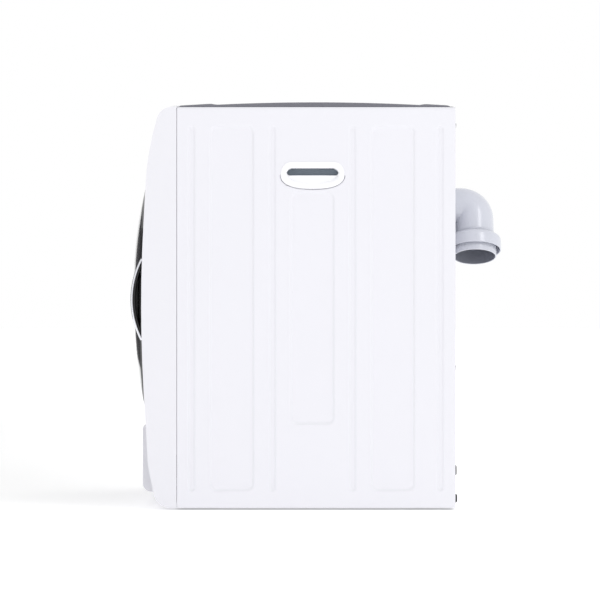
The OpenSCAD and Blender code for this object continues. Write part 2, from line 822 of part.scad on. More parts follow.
module motor_casing() {
    y0 = motor_front_y;
    y1 = motor_back_y;
    t = 4;
    color("gray") difference() {
        lathe_y(motor_x, motor_z, [[motor_shaft_r + run_gap, y0 - 8], [16, y0 - 8], [18, y0],
            [motor_r - 10, y0], [motor_r, y0 + 12], [motor_r, y1 - 12], [motor_r - 10, y1], [18, y1],
            [16, y1 + 8], [motor_shaft_r + run_gap, y1 + 8], [motor_shaft_r + run_gap, y1 - t],
            [motor_r - 14, y1 - t], [motor_r - t, y1 - 14], [motor_r - t, y0 + 14],
            [motor_r - 14, y0 + t], [motor_shaft_r + run_gap, y0 + t]]);
        for (a = [0:45:315])
            translate([motor_x, 0, motor_z]) rotate([0, a, 0])
                translate([motor_r - t / 2, (y0 + y1) / 2, 0]) cube([t * 2, 50, 8], center = true);
    }
}

module motor_rotor() {
    color("silver") {
        rod_y(motor_x, motor_z, belt_y - 12, fan_belt_y + 10, motor_shaft_r);
        rod_y(motor_x, motor_z, motor_front_y + 16, motor_back_y - 16, motor_r - 20);
        lathe_y(motor_x, motor_z, [[0, belt_y - 8], [drive_r + 3, belt_y - 8], [drive_r + 3, belt_y - 6],
            [drive_r, belt_y - 5], [drive_r, belt_y + 5], [drive_r + 3, belt_y + 6],
            [drive_r + 3, belt_y + 8], [0, belt_y + 8]]);
        lathe_y(motor_x, motor_z, [[0, fan_belt_y - 6], [fan_drive_r + 2, fan_belt_y - 6],
            [fan_drive_r, fan_belt_y - 5], [fan_drive_r, fan_belt_y + 5],
            [fan_drive_r + 2, fan_belt_y + 6], [0, fan_belt_y + 6]]);
    }
}

// Two cradles that carry the motor, and the post that the idler arm turns on.
module motor_bracket() {
    floor_z = base_z + base_t;
    w = motor_r + 8;
    post_y = belt_y + 14;
    color("dimgray") {
        difference() {
            union() {
                for (y = [motor_front_y + 16, motor_back_y - 20])
                    block([motor_x - w, y, floor_z], [motor_x + w, y + 4, motor_z - 8]);
                block([motor_x - w, motor_front_y + 16, floor_z], [motor_x + w, motor_back_y - 16, floor_z + 2]);
            }
            rod_y(motor_x, motor_z, motor_front_y, motor_back_y, motor_r);
        }
        block([idler_pivot_x - 9, post_y, floor_z], [idler_pivot_x + 9, post_y + 4, idler_pivot_z + 9]);
        block([idler_pivot_x - 9, post_y, floor_z], [idler_pivot_x + 9, post_y + 26, floor_z + 2]);
        rod_y(idler_pivot_x, idler_pivot_z, belt_y + 6, post_y + 1, 4);
    }
}

idler_arm_y = belt_y + 8;
spring_x = idler_pivot_x + 32;
spring_y = idler_arm_y + 12;
spring_low = base_z + base_t;
arm_tilt = atan2(idler_z - idler_pivot_z, idler_x - idler_pivot_x);
arm_len = norm([idler_x - idler_pivot_x, idler_z - idler_pivot_z]);
spring_z = idler_pivot_z + 32 * tan(arm_tilt) - 3;

module idler_arm() {
    color("silver") {
        difference() {
            union() {
                rod_y(idler_pivot_x, idler_pivot_z, idler_arm_y, idler_arm_y + 4, 10);
                rod_y(idler_x, idler_z, idler_arm_y, idler_arm_y + 4, 10);
                translate([idler_pivot_x, idler_arm_y, idler_pivot_z]) rotate([0, -arm_tilt, 0])
                    translate([0, 0, -7]) cube([arm_len, 4, 14]);
            }
            rod_y(idler_pivot_x, idler_pivot_z, idler_arm_y - 5, idler_arm_y + 10, 4 + run_gap);
        }
        rod_y(idler_x, idler_z, belt_y - 7, idler_arm_y + 1, 4);
        rod_y(spring_x, spring_z + 3, idler_arm_y + 3, spring_y + 4, 2);
    }
}

module idler_wheel() {
    r = idler_r;
    b = 4 + run_gap;
    color([0.3, 0.3, 0.3]) lathe_y(idler_x, idler_z, [[b, belt_y - 7], [r + 3, belt_y - 7],
        [r + 3, belt_y - 6], [r, belt_y - 5], [r, belt_y + 5], [r + 3, belt_y + 6],
        [r + 3, belt_y + 7], [b, belt_y + 7]]);
}

module idler_spring() {
    turns = 7;
    steps = 10;
    wire_r = 0.8;
    coil_r = 4;
    rise = spring_z - 0.4 - spring_low - 2 * wire_r;
    color("silver") sweep([for (i = [0:turns * steps])
        [spring_x + coil_r * cos(360 * i / steps), spring_y + coil_r * sin(360 * i / steps),
         spring_low + wire_r + rise * i / (turns * steps)]], wire_r, 6);
}

module drum_belt() {
    color([0.15, 0.15, 0.15]) belt_loop(belt_y, [[0, drum_z, drum_r], [motor_x, motor_z, drive_r],
        [idler_x, idler_z, idler_r]]);
}

module fan_belt() {
    color([0.15, 0.15, 0.15])
        belt_loop(fan_belt_y, [[0, fan_z, fan_pulley_r], [motor_x, motor_z, fan_drive_r]]);
}

module fan_wheel() {
    y0 = fan_front_y;
    y1 = fan_back_y;
    color("whitesmoke") {
        rod_y(0, fan_z, y0 + 4, fan_belt_y + 10, 6);
        rod_y(0, fan_z, y1 - 2, y1, fan_r);
        rod_y(0, fan_z, y1 - 22, y1 - 1, 12);
        tube_y(0, fan_z, y0, y0 + 2, fan_r - 11, fan_r);
        for (i = [0:fan_blades - 1])
            translate([0, 0, fan_z]) rotate([0, 360 * i / fan_blades, 0])
                translate([fan_r - 6.5, (y0 + y1) / 2, 0]) rotate([0, 25, 0])
                    cube([10, y1 - y0 - 2, 1.2], center = true);
        lathe_y(0, fan_z, [[0, fan_belt_y - 6], [fan_pulley_r + 2, fan_belt_y - 6],
            [fan_pulley_r, fan_belt_y - 5], [fan_pulley_r, fan_belt_y + 5],
            [fan_pulley_r + 2, fan_belt_y + 6], [0, fan_belt_y + 6]]);
    }
}

// ---- Drum ----

module drum_shell() {
    bead = 1.2;
    color("silver") {
        tube_y(0, drum_z, drum_front_y, drum_back_y, drum_r - drum_t, drum_r);
        for (y = [drum_front_y + 12, belt_y - 12, belt_y + 9, drum_back_y - 16])
            tube_y(0, drum_z, y, y + 3, drum_r - drum_t / 2, drum_r + bead);
    }
}

module drum_rear() {
    rings = 4;
    color("gainsboro") difference() {
        rod_y(0, drum_z, drum_back_y - drum_t, drum_back_y, drum_r - drum_t);
        for (i = [0:rings - 1], k = [0:23])
            translate([0, 0, drum_z]) rotate([0, 15 * k + 7.5 * (i % 2), 0])
                rod_y(62 + 20 * i, 0, drum_back_y - 5, drum_back_y + 5, 5);
    }
}

// A hollow ridge with a rounded top, or its inside when inset.
module lifter_form(inset) {
    base = drum_r - drum_t;
    foot = sqrt(pow(base, 2) - pow(lifter_w / 2, 2));
    w = lifter_w / 2 - inset;
    top = base - lifter_h + inset;
    long = drum_back_y - drum_front_y - 60 - 2 * inset;
    rotate([90, 0, 0]) translate([0, 0, 26 + inset - drum_back_y]) linear_extrude(long)
        polygon(rounded([[base + 5, -w, 0], [foot, -w, 0], [top, -9, 12], [top, 9, 12],
            [foot, w, 0], [base + 5, w, 0]]));
}

module drum_lifters() {
    color("lightgray") for (a = [30, 150, 270])
        translate([0, 0, drum_z]) rotate([0, -a, 0]) intersection() {
            difference() {
                lifter_form(0);
                lifter_form(3);
            }
            rod_y(0, 0, drum_front_y, drum_back_y, drum_r - drum_t);
        }
}

module drum_shaft() {
    color("gray") lathe_y(0, drum_z, [[0, drum_back_y], [45, drum_back_y], [45, drum_back_y + 4],
        [20, drum_back_y + 6], [shaft_r, drum_back_y + 7], [shaft_r, shaft_end_y - 1],
        [shaft_r - 1, shaft_end_y], [0, shaft_end_y]]);
}

module lint_filter() {
    back = drum_back_y - drum_t - fit_gap;
    color([0.85, 0.87, 0.9]) lathe_y(0, drum_z, [[0, back - 24], [12, back - 24], [14, back - 21],
        [18, back - 8], [filter_r - 14, back - 2], [filter_r - 12, back - 12], [filter_r - 4, back - 14],
        [filter_r, back - 8], [filter_r, back], [0, back]]);
}

// ---- Door ----

function dome_y(r) = crest_y + dome_drop * pow(r / dome_edge_r, dome_power);

step_y = ring_front_y + 2;             // the dome's skirt stands on this step of the ring

module door_dome() {
    n = 18;
    rim = dome_edge_r - 4;
    color([0.1, 0.1, 0.11]) lathe_y(0, drum_z, concat(
        [for (i = [0:n]) let (r = dome_edge_r * i / n) [r, dome_y(r)]],
        [[dome_edge_r, step_y], [rim, step_y]],
        [for (i = [n:-1:0]) let (r = rim * i / n) [r, dome_y(r) + dome_t]]));
}

gasket_in_r = mouth_r + 7;
gasket_out_r = min(mouth_r + 17, door_r - 5);
groove_y = ring_back_y - 4;

module door_ring() {
    r = dome_edge_r + fit_gap;
    color([0.1, 0.1, 0.11]) lathe_y(0, drum_z, [[ring_in_r, step_y], [r, step_y], [r, ring_front_y],
        [door_r - 3, ring_front_y], [door_r, ring_front_y + 3], [door_r, ring_back_y],
        [gasket_out_r, ring_back_y], [gasket_out_r, groove_y], [gasket_in_r, groove_y],
        [gasket_in_r, ring_back_y], [ring_in_r, ring_back_y]]);
}

module door_gasket() {
    y1 = floor_y - fit_gap;
    color([0.2, 0.2, 0.2]) lathe_y(0, drum_z, [[gasket_in_r, groove_y], [gasket_out_r, groove_y],
        [gasket_out_r, ring_back_y], [gasket_out_r - 2, y1], [gasket_in_r + 2, y1], [gasket_in_r, ring_back_y]]);
}

module door_liner() {
    r = mouth_r - 5;
    y0 = ring_back_y;
    y1 = seam_y - 28;
    color("gainsboro") lathe_y(0, drum_z, [[glass_r, y0], [glass_r + wall_t, y0],
        [glass_r + wall_t, y1 - wall_t], [r - wall_t, y1 - wall_t], [r - wall_t, y0], [r, y0],
        [r, y1 - 3], [r - 3, y1], [glass_r, y1]]);
}

module door_glass() {
    r = glass_r - fit_gap;
    y0 = ring_back_y;
    color([0.6, 0.65, 0.68, 0.5]) lathe_y(0, drum_z, [[r - 4, y0 - 3.5], [r + 6, y0 - 3.5], [r + 6, y0],
        [r, y0], [r - 3, seam_y - 30], [r - 18, seam_y - 18], [0, seam_y - 12], [0, seam_y - 16],
        [r - 20, seam_y - 22], [r - 7, seam_y - 32]]);
}

// What the handle stands on: the dome's solid, with the ring round it.
module dome_form() {
    n = 18;
    lathe_y(0, drum_z, concat([for (i = [0:n]) let (r = dome_edge_r * i / n) [r, dome_y(r)]],
        [[dome_edge_r, ring_front_y], [door_r + 50, ring_front_y], [door_r + 50, seam_y], [0, seam_y]]));
}

// A bow seen from the side: what lies between two arcs about the same centre, in front of the door.
module handle_bow(r_in, r_out, x0, x1) {
    difference() {
        intersection() {
            translate([x0, handle_y, drum_z]) rotate([0, 90, 0]) difference() {
                cylinder(h = x1 - x0, r = r_out);
                if (r_in > 0) translate([0, 0, -1]) cylinder(h = x1 - x0 + 2, r = r_in);
            }
            block([x0, crest_y - 20, drum_z - handle_len / 2], [x1, ring_front_y + 1, drum_z + handle_len / 2]);
        }
        dome_form();
    }
}

// The grip is hollow, and open towards the rim for the fingers.
module handle_grip() {
    r = handle_arc_r - trim_t;
    x1 = handle_x + handle_w - 3;
    color([0.05, 0.05, 0.05]) difference() {
        handle_bow(0, r, handle_x + 3, x1);
        translate([handle_x + 6, handle_y, drum_z]) rotate([0, 90, 0]) cylinder(h = 100, r = r - 3);
    }
}

module handle_trim() {
    color("silver") handle_bow(handle_arc_r - trim_t, handle_arc_r, handle_x, handle_x + handle_w);
}

module hinge_arm() {
    color("gray") difference() {
        union() {
            translate([hinge_x, hinge_y, drum_z - hinge_half]) cylinder(h = 2 * hinge_half, r = knuckle_r);
            block([hinge_x, ring_front_y - 4, drum_z - hinge_half], [2 - dome_edge_r - 4, ring_front_y, drum_z + hinge_half]);
        }
        translate([hinge_x, hinge_y, drum_z - 50]) cylinder(h = 100, r = hinge_pin_r + run_gap);
    }
}

module hinge_bracket() {
    seat_x = hinge_x - 4;
    lug_z = hinge_half + fit_gap;
    color("gray") difference() {
        union() {
            block([seat_x - 26.5, hinge_seat_y - 4, drum_z - lug_z - lug_t], [seat_x - 4, hinge_seat_y, drum_z + lug_z + lug_t]);
            for (z = [drum_z - lug_z - lug_t, drum_z + lug_z]) {
                translate([hinge_x, hinge_y, z]) cylinder(h = lug_t, r = knuckle_r);
                block([seat_x - 20, hinge_y - 3, z], [hinge_x, hinge_seat_y - 3, z + lug_t]);
            }
        }
        translate([hinge_x, hinge_y, 0]) cylinder(h = big, r = hinge_pin_r);
    }
}

module hinge_pin() {
    long = 2 * (hinge_half + fit_gap + lug_t) - 1;
    color("silver") translate([hinge_x, hinge_y, drum_z - long / 2]) cylinder(h = long, r = hinge_pin_r);
}

module door_switch() {
    y0 = floor_y + wall_t;
    x = door_plunger_x;
    z = door_plunger_z;
    color("black") difference() {
        block([x - 9, y0, z - 14], [x + 9, y0 + 24, z + 14]);
        rod_y(x, z, y0 - 1, y0 + 18, plunger_r + run_gap);
    }
}

module door_plunger() {
    color("white") rod_y(door_plunger_x, door_plunger_z, ring_back_y + fit_gap, floor_y + wall_t + 16, plunger_r);
}

module door_magnet() {
    color("dimgray") {
        block([latch_r - 4, floor_y - 0.5, drum_z - 15], [latch_r + 4, floor_y + wall_t + 1, drum_z + 15]);
        block([latch_r - 7, floor_y + wall_t, drum_z - 21], [latch_r + 7, floor_y + wall_t + 7, drum_z + 21]);
    }
}

// ---- Exhaust elbow, with its collar and spigot, turned about the port ----

module elbow_pipe(r, inner) {
    c = elbow_bend_r;
    clip = inner ? elbow_t + 1 : 1;
    past = inner ? 5 : 0;
    low = inner ? spigot_end + 5 : collar_end - 8;
    bend = inner ? r + 0.15 : r - 0.15;
    rod_y(0, 0, stub_y - past, back_y + elbow_back - c + 0.6, r);
    translate([0, back_y + elbow_back, -low]) cylinder(h = low - c + 0.6, r = r);
    translate([0, back_y + elbow_back - c, -c]) rotate([90, 0, 90])
        rotate_extrude(angle = 90) intersection() {
            polygon([for (a = [3.75:7.5:360]) [c + bend * cos(a), bend * sin(a)]]);
            translate([clip, -r - 1]) square([c + r, 2 * r + 2]);
        }
}

module elbow_collar() {
    w = 2.5;
    a = collar_top;
    b = collar_end;
    o = collar_r;
    translate([0, back_y + elbow_back, 0]) rotate([180, 0, 0]) rotate_extrude()
        polygon(concat([[elbow_r - elbow_t, a]],
            [for (t = [0:15:90]) [o - collar_round * (1 - sin(t)), a + collar_round * (1 - cos(t))]],
            [[o, b], [o - w, b], [o - w, a + collar_round], [o - collar_round + 1, a + w],
             [spigot_r - 0.8, a + w], [spigot_r - 0.8, b + 1], [spigot_r, b + 1],
             [spigot_r, spigot_end],
             [spigot_r - w, spigot_end], [spigot_r - w, a + 6], [elbow_r - elbow_t, a + 3]]));
}

module elbow() {
    color([0.84, 0.85, 0.88]) translate([0, 0, port_z]) rotate([0, -elbow_turn, 0]) {
        difference() {
            elbow_pipe(elbow_r, false);
            elbow_pipe(elbow_r - elbow_t, true);
        }
        elbow_collar();
    }
}

// ---- Feet ----

module foot(x, y) {
    color([0.2, 0.2, 0.2]) translate([x, y, 0]) {
        cylinder(h = 5, r = foot_r);
        translate([0, 0, 5 - tiny]) cylinder(h = 3 + tiny, r1 = foot_r, r2 = foot_r - 6);
        cylinder(h = base_z + 8 + foot_travel, r = thread_r);
    }
}

module foot_front_right() { foot(foot_x, foot_front_y); }

module foot_front_left() { foot(-foot_x, foot_front_y); }

module foot_back_right() { foot(foot_x, foot_back_y); }

module foot_back_left() { foot(-foot_x, foot_back_y); }

// ---- Wiring ----

module wiring_harness() {
    x = harness_hole_x;
    z = harness_hole_z;
    color("dimgray") sweep([[gland_x - 1, back_y - 26, gland_z - 1], [gland_x - 2, back_y - 34, gland_z - 3],
        [gland_x - 6, back_y - 46, gland_z - 14], [x + 4, back_y - 66, z + 6], [x, back_y - 90, z],
        [x, (back_y + seam_y) / 2, z], [x, seam_y + 30, z], [x, seam_y - 4, z],
        [x - 10, seam_y - 14, z], [x - 30, seam_y - 18, z], [60, seam_y - 18, z],
        [-60, seam_y - 18, z], [knob_x + 12, seam_y - 18, z + 6], [knob_x, seam_y - 17, z + 22],
        [knob_x, seam_y - 18, control_z]], 3.5);
}

left_side_panel();
right_side_panel();
back_panel();
top_cover();
base_pan();
front_panel();
control_fascia();
control_switches();
side_grips();
front_bulkhead();
mouth_ring();
drum_felts();
rear_bulkhead();
bearing_housing();
drum_bearing();
fan_housing();
exhaust_flange();
heater_box();
heater_element();
thermostats();
motor_casing();
motor_bracket();
door_switch();
door_magnet();
hinge_bracket();
hinge_pin();
cord_gland();
intake_grille();
screws();
wall_bumpers();
drum_belt();
fan_belt();
wiring_harness();
idler_spring();
drum_shell();
drum_rear();
drum_lifters();
drum_shaft();
lint_filter();
door_ring();
door_dome();
door_liner();
door_glass();
door_gasket();
handle_grip();
handle_trim();
hinge_arm();
motor_rotor();
fan_wheel();
idler_arm();
idler_wheel();
timer_knob();
start_button();
heat_button();
door_plunger();
foot_front_right();
foot_front_left();
foot_back_right();
foot_back_left();
elbow();
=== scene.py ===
import json
import math

import bmesh
import bpy
import numpy as np
from mathutils import Matrix, Vector


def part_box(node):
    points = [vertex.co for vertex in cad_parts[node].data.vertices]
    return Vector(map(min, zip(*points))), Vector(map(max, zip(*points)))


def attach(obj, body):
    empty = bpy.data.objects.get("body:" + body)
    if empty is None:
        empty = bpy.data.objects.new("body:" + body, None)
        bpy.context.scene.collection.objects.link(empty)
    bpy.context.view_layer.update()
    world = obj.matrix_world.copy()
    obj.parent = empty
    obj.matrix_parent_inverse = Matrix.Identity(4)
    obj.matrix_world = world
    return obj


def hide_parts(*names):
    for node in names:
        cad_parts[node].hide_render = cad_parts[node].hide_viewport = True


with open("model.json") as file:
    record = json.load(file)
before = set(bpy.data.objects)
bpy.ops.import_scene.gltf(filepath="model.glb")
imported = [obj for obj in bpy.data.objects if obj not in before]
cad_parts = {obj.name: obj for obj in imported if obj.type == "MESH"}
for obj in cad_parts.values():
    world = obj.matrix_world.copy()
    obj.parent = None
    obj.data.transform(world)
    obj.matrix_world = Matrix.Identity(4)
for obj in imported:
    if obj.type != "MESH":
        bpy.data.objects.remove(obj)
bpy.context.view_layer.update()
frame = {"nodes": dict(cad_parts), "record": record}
nodes = frame["nodes"]
print("frame loaded,", len(nodes), "nodes")

# Places that several pieces share, read from the frame.
sideLow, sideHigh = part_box("right_side_panel")
domeLow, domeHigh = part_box("door_dome")
wall = sideHigh.x                      # outer face of the right side panel
seam, back = sideLow.y, sideHigh.y     # front and back edge of the sheet-metal body
skirt, topZ = sideLow.z, sideHigh.z    # lower and upper edge of the side panels
doorZ = (domeLow.z + domeHigh.z) / 2   # height of the door's axis
crest = domeLow.y                      # the door's foremost point


def smoothStep(x):
    x = np.clip(x, 0.0, 1.0)
    return x * x * (3 - 2 * x)


def makeObject(name, verts, faces, sharpAngle=38):
    mesh = bpy.data.meshes.new(name)
    mesh.from_pydata([tuple(float(c) for c in v) for v in verts], [], faces)
    work = bmesh.new()
    work.from_mesh(mesh)
    bmesh.ops.remove_doubles(work, verts=work.verts, dist=2e-6)
    bmesh.ops.dissolve_degenerate(work, edges=work.edges, dist=1e-6)
    bmesh.ops.recalc_face_normals(work, faces=work.faces)
    work.to_mesh(mesh)
    work.free()
    mesh.shade_smooth()
    mesh.set_sharp_from_angle(angle=math.radians(sharpAngle))
    obj = bpy.data.objects.new(name, mesh)
    bpy.context.scene.collection.objects.link(obj)
    return obj


def gridFaces(rows, cols, wrapRows=False, wrapCols=False, keep=None):
    faces = []
    for r in range(rows if wrapRows else rows - 1):
        for c in range(cols if wrapCols else cols - 1):
            if keep is not None and not keep[r, c]:
                continue
            r2, c2 = (r + 1) % rows, (c + 1) % cols
            faces.append((r * cols + c, r * cols + c2, r2 * cols + c2, r2 * cols + c))
    return faces


# Turns a closed profile of (radius, y) about a line along Y.
def latheY(name, centre, profile, segments=180, sharpAngle=38):
    angles = [2 * math.pi * i / segments for i in range(segments)]
    verts = [(centre[0] + r * math.sin(a), y, centre[1] + r * math.cos(a))
             for a in angles for r, y in profile]
    faces = gridFaces(segments, len(profile), wrapRows=True, wrapCols=True)
    return makeObject(name, verts, faces, sharpAngle)


# Rounds the corners of a closed profile of (x, y, radius).
def roundProfile(corners, steps=5):
    out = []
    count = len(corners)
    for i, (x, y, r) in enumerate(corners):
        b = Vector((x, y))
        if r <= 0:
            out.append((x, y))
            continue
        u = (Vector(corners[i - 1][:2]) - b).normalized()
        v = (Vector(corners[(i + 1) % count][:2]) - b).normalized()
        half = u.angle(v) / 2
        reach = r / math.tan(half)
        middle = b + (u + v).normalized() * r / math.sin(half)
        start, end = b + u * reach - middle, b + v * reach - middle
        turn = start.angle(end)
        for k in range(steps + 1):
            t = k / steps
            p = middle + (math.sin((1 - t) * turn) * start + math.sin(t * turn) * end) / math.sin(turn)
            out.append((p.x, p.y))
    return out


# The first material covers the piece, and later ones only the faces that name them.
def setMaterial(obj, *materials):
    marks = [face.material_index for face in obj.data.polygons]
    obj.data.materials.clear()
    for material in materials:
        obj.data.materials.append(material)
    if len(materials) > 1:
        obj.data.polygons.foreach_set("material_index", marks)


# A finish is a shader with fine grain in its bump, and slow drifts in its colour and roughness.
def makeFinish(name, color, roughness, metallic=0.0, coat=0.0, grainSize=0.001, grainHeight=0.00001,
               drift=0.03, driftSize=0.12, roughDrift=0.06, stretch=(1, 1, 1), alpha=1.0, sheen=0.0,
               specular=0.5, glow=0.0):
    material = bpy.data.materials.new(name)
    material.use_nodes = True
    tree = material.node_tree
    tree.nodes.clear()
    new = tree.nodes.new
    join = tree.links.new
    out = new("ShaderNodeOutputMaterial")
    shader = new("ShaderNodeBsdfPrincipled")
    join(shader.outputs["BSDF"], out.inputs["Surface"])
    place = new("ShaderNodeTexCoord")
    mapping = new("ShaderNodeMapping")
    mapping.inputs["Scale"].default_value = stretch
    join(place.outputs["Object"], mapping.inputs["Vector"])

    slow = new("ShaderNodeTexNoise")
    slow.inputs["Scale"].default_value = 1 / driftSize
    slow.inputs["Detail"].default_value = 3
    join(mapping.outputs["Vector"], slow.inputs["Vector"])
    tone = new("ShaderNodeMapRange")
    tone.inputs["To Min"].default_value = 1 - drift
    tone.inputs["To Max"].default_value = 1 + drift
    join(slow.outputs["Fac"], tone.inputs["Value"])
    shade = new("ShaderNodeVectorMath")
    shade.operation = "SCALE"
    shade.inputs[0].default_value = color
    join(tone.outputs["Result"], shade.inputs["Scale"])
    join(shade.outputs["Vector"], shader.inputs["Base Color"])

    grain = new("ShaderNodeTexNoise")
    grain.inputs["Scale"].default_value = 1 / grainSize
    grain.inputs["Detail"].default_value = 2
    join(mapping.outputs["Vector"], grain.inputs["Vector"])
    rough = new("ShaderNodeMapRange")
    rough.inputs["To Min"].default_value = max(roughness - roughDrift, 0.02)
    rough.inputs["To Max"].default_value = min(roughness + roughDrift, 1)
    join(slow.outputs["Fac"], rough.inputs["Value"])
    join(rough.outputs["Result"], shader.inputs["Roughness"])
    bump = new("ShaderNodeBump")
    bump.inputs["Distance"].default_value = grainHeight
    join(grain.outputs["Fac"], bump.inputs["Height"])
    join(bump.outputs["Normal"], shader.inputs["Normal"])

    shader.inputs["Metallic"].default_value = metallic
    shader.inputs["Coat Weight"].default_value = coat
    shader.inputs["Coat Roughness"].default_value = 0.08
    shader.inputs["Alpha"].default_value = alpha
    shader.inputs["Specular IOR Level"].default_value = specular
    shader.inputs["Emission Color"].default_value = (1, 1, 1, 1)
    shader.inputs["Emission Strength"].default_value = glow
    shader.inputs["Sheen Weight"].default_value = sheen
    return material


finishes = {
    "white_enamel": makeFinish("white orange-peel enamel", (0.757, 0.755, 0.800), 0.32, coat=0.25,
                               grainSize=0.0022, grainHeight=0.00003, drift=0.012, driftSize=0.35),
    "grey_enamel": makeFinish("grey satin enamel", (0.13, 0.13, 0.16), 0.55, specular=0.08,
                              grainSize=0.0016, grainHeight=0.00003, drift=0.03, driftSize=0.3),
    "zinc_sheet": makeFinish("spangled zinc", (0.60, 0.61, 0.63), 0.4, metallic=1.0, grainSize=0.004,
                             grainHeight=0.00002, drift=0.09, driftSize=0.012, roughDrift=0.1),
    "white_plastic": makeFinish("white moulded plastic", (0.752, 0.750, 0.792), 0.36, coat=0.15,
                                grainSize=0.0009, grainHeight=0.000012, drift=0.01, driftSize=0.4),
    "bright_plastic": makeFinish("bright white grip plastic", (0.88, 0.88, 0.905), 0.3, coat=0.2,
                                 grainSize=0.0009, grainHeight=0.00001, drift=0.006, driftSize=0.1),
    "grey_plastic": makeFinish("grey switch plastic", (0.10, 0.10, 0.11), 0.5, grainSize=0.0006,
                               grainHeight=0.00002),
    "light_grey_plastic": makeFinish("pale grey plastic", (0.52, 0.53, 0.55), 0.45, grainSize=0.0008,
                                     grainHeight=0.00002),
    "felt": makeFinish("pressed wool felt", (0.20, 0.17, 0.13), 0.95, grainSize=0.0007,
                       grainHeight=0.0004, drift=0.15, driftSize=0.004, sheen=0.3),
    "cast_aluminium": makeFinish("cast aluminium", (0.62, 0.62, 0.63), 0.42, metallic=1.0,
                                 grainSize=0.0012, grainHeight=0.00008, drift=0.05),
    "bronze": makeFinish("sintered bronze", (0.50, 0.31, 0.12), 0.4, metallic=1.0, grainSize=0.0005,
                         grainHeight=0.00003),
    "elbow_plastic": makeFinish("glossy pale grey plastic", (0.585, 0.60, 0.665), 0.24, coat=0.4,
                                grainSize=0.0015, grainHeight=0.00001, drift=0.012, driftSize=0.1),
    "black_plastic": makeFinish("black moulded plastic", (0.012, 0.012, 0.013), 0.45, grainSize=0.0005,
                                grainHeight=0.00002, drift=0.2, driftSize=0.01),
    "steel": makeFinish("rolled stainless steel", (0.60, 0.60, 0.61), 0.26, metallic=1.0,
                        grainSize=0.0012, grainHeight=0.00001, stretch=(1, 14, 1), drift=0.04,
                        driftSize=0.03),
    "rubber": makeFinish("black rubber", (0.02, 0.02, 0.021), 0.7, grainSize=0.0007,
                         grainHeight=0.00004, drift=0.15, driftSize=0.02),
    "black_gloss": makeFinish("black gloss shell", (0.006, 0.006, 0.007), 0.12, coat=0.6,
                              grainSize=0.003, grainHeight=0.000004, drift=0.1, roughDrift=0.03),
    "glass": makeFinish("door glass", (0.55, 0.60, 0.62), 0.05, coat=0.3, grainSize=0.01,
                        grainHeight=0.00001, alpha=0.35, roughDrift=0.02),
    "chrome": makeFinish("polished chrome", (0.78, 0.79, 0.83), 0.08, metallic=1.0, grainSize=0.002,
                         grainHeight=0.000004, drift=0.02, roughDrift=0.04),
    "silver_plastic": makeFinish("silver painted plastic", (0.50, 0.51, 0.54), 0.3, metallic=0.7,
                                 grainSize=0.0004, grainHeight=0.00001, drift=0.02),
}
# Painted shade: a slate-grey finish for the deep faces of the grip's slot. It is darker than the white
# plastic and stands in for the shade inside the slot.
finishes["recess"] = makeFinish("deep recess", (0.27, 0.31, 0.36), 0.7, drift=0.08, driftSize=0.03)
# Painted shade: a dark grey finish for the inner wall of the elbow and the spigot. It stands in for the shade
# inside the pipe.
finishes["inside"] = makeFinish("painted shade inside the elbow", (0.20, 0.21, 0.25), 0.7, grainSize=0.002,
                                grainHeight=0.00003, drift=0.05)
slotOf = {p["node"]: p["material_slot"] for p in frame["record"]["subparts"]}
for nodeName, obj in nodes.items():
    setMaterial(obj, finishes[slotOf[nodeName]])
print("finishes assigned")


def finishPiece(piece, body, slot, *replaced, first=None, second=None):
    setMaterial(piece, *[finishes[name] for name in (first or slot, second) if name])
    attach(piece, body)
    if replaced:
        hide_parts(*replaced)


panel = {
    "rollRadius": 0.006,      # rolled edge along the top
    "hemRadius": 0.0016,      # small fold at the other edges
    "seamGap": 0.0004,        # dark line beside the front frame
    "depth": 0.0023,          # how deep the stamping goes in
    "softness": 0.0052,       # width of the stamping's sloped edges
    "beadWidth": 0.0145,
    "fieldWidth": 0.079,
    "fieldCorner": 0.014,
    "beadPlaces": (-0.211, -0.070, 0.070, 0.223),
    "fieldPlaces": (-0.1405, 0.1405),
    "low": 0.028,             # lower end of the stamping above the panel's edge
    "high": 0.032,            # upper end below the panel's edge
    "centreLow": 0.144,
    "sheet": 0.0008,
}
grip = {
    "halfWidth": 0.0555,
    "height": 0.047,
    "rise": 0.002,            # the outline is widest this much above its middle
    "shoulder": 0.018,
    "scoop": 0.0055,          # how deep the scoop goes before the slot
    "slotWidth": 0.090,
    "depth": 0.0225,
    "slotLow": 0.0004,        # the slot's lower and upper edge above the grip's middle
    "slotHigh": 0.0122,
    "square": 0.80,           # under 1 makes the lower curve squarer
    "moatWidth": 0.0019,
    "moatDepth": 0.0042,
}
gripLow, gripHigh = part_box("side_grips")
gripZ = (gripLow.z + gripHigh.z) / 2
gripY = (gripLow.y + gripHigh.y) / 2


# Distance outside a rounded rectangle, negative inside.
def roundedRect(y, z, centreY, centreZ, halfY, halfZ, corner):
    qy = np.abs(y - centreY) - (halfY - corner)
    qz = np.abs(z - centreZ) - (halfZ - corner)
    return np.hypot(np.maximum(qy, 0), np.maximum(qz, 0)) + np.minimum(np.maximum(qy, qz), 0) - corner


def stampDepth(y, z):
    low, high = skirt + panel["low"], topZ - panel["high"]
    middle, half = (low + high) / 2, (high - low) / 2
    distance = np.full(np.broadcast(y, z).shape, 9.0)
    for place in panel["beadPlaces"]:
        bead = panel["beadWidth"] / 2
        distance = np.minimum(distance, roundedRect(y, z, gripY + place, middle, bead, half, bead * 0.95))
    for place in panel["fieldPlaces"]:
        distance = np.minimum(distance, roundedRect(y, z, gripY + place, middle, panel["fieldWidth"] / 2,
                                                    half, panel["fieldCorner"]))
    centreTop = gripZ - grip["height"] / 2 - 0.004
    centreLow = skirt + panel["centreLow"]
    distance = np.minimum(distance, roundedRect(y, z, gripY, (centreTop + centreLow) / 2,
                                                panel["fieldWidth"] / 2, (centreTop - centreLow) / 2,
                                                panel["fieldCorner"]))
    return panel["depth"] * smoothStep(-distance / panel["softness"])


